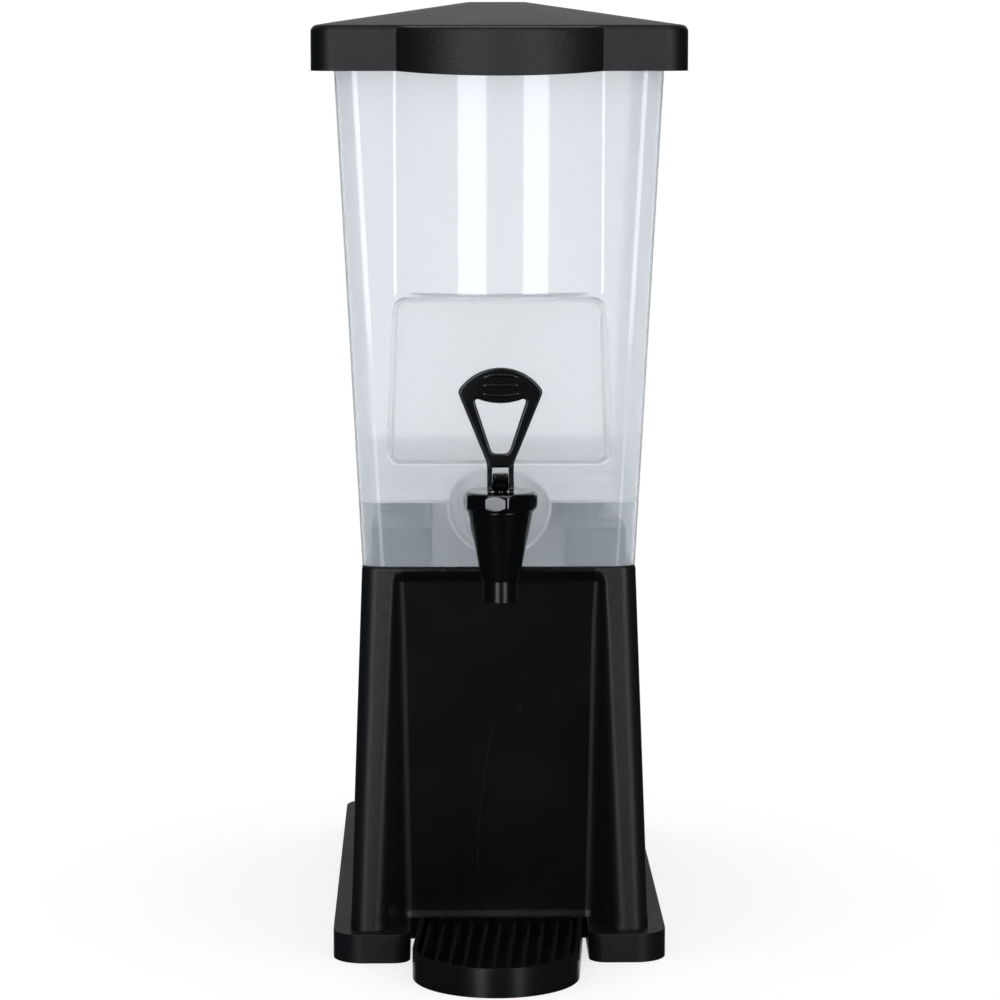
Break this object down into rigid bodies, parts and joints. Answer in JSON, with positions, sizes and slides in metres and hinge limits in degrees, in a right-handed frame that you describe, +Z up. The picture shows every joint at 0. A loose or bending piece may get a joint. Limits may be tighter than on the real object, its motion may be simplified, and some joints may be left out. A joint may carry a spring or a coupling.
{
  "type": "juice dispenser",
  "caption": "Countertop juice dispenser: a translucent container with a lift-off lid and a spring-closed lever tap, on a hollow stand with a cup niche and a loose ribbed drip tray.",
  "frame": {"origin": "on the ground, under the middle of the box around the whole dispenser", "axes": "+Z up, -Y the way the tap and the drip tray face, +X to the right as seen from the front"},
  "size_m": [0.216, 0.454, 0.559],
  "materials": {
    "stand_plastic": "black satin, finely textured on the legs and smoother in the niche",
    "tray_plastic": "black satin",
    "lid_plastic": "black with a fine pebbled texture",
    "tap_plastic": "glossy black",
    "milky_plastic": "milky translucent, smooth",
    "silicone": "pale matt silicone",
    "gasket_rubber": "dark matt rubber",
    "spring_steel": "drawn stainless wire"
  },
  "bodies": {
    "stand": {"base_housing": "stand_plastic"},
    "tray": {"drip_tray": "tray_plastic"},
    "tank": {"container": "milky_plastic", "tap_body": "tap_plastic", "tap_bonnet": "tap_plastic", "outer_gasket": "gasket_rubber", "inner_gasket": "gasket_rubber", "shank_nut": "tap_plastic", "seat_cup": "silicone", "stem_spring": "spring_steel"},
    "cover": {"lid": "lid_plastic"},
    "valve_stem": {"tap_stem": "tap_plastic", "handle_pin": "spring_steel"},
    "lever": {"tap_handle": "tap_plastic"}
  },
  "joints": [
    {"name": "container_lift", "type": "slide", "parent": "stand", "child": "tank", "axis": [0, 0, 1], "range_m": [0, 0.12]},
    {"name": "lid_lift", "type": "slide", "parent": "tank", "child": "cover", "axis": [0, 0, 1], "range_m": [0, 0.06]},
    {"name": "tray_slide", "type": "slide", "parent": "stand", "child": "tray", "axis": [0, -1, 0], "range_m": [0, 0.12]},
    {"name": "stem_lift", "type": "slide", "parent": "tank", "child": "valve_stem", "axis": [0, 0, 1], "range_m": [0, 0.004], "deforming": ["seat_cup", "stem_spring"]},
    {"name": "handle_tilt", "type": "hinge", "parent": "valve_stem", "child": "lever", "pos_m": [0, -0.16385, 0.2845], "axis": [1, 0, 0], "range_deg": [0, 45], "stiffness_Nm_per_rad": 0.06}
  ],
  "couplings": [
    {"joint": "stem_lift", "follows": "handle_tilt", "m_per_rad": 0.005}
  ]
}
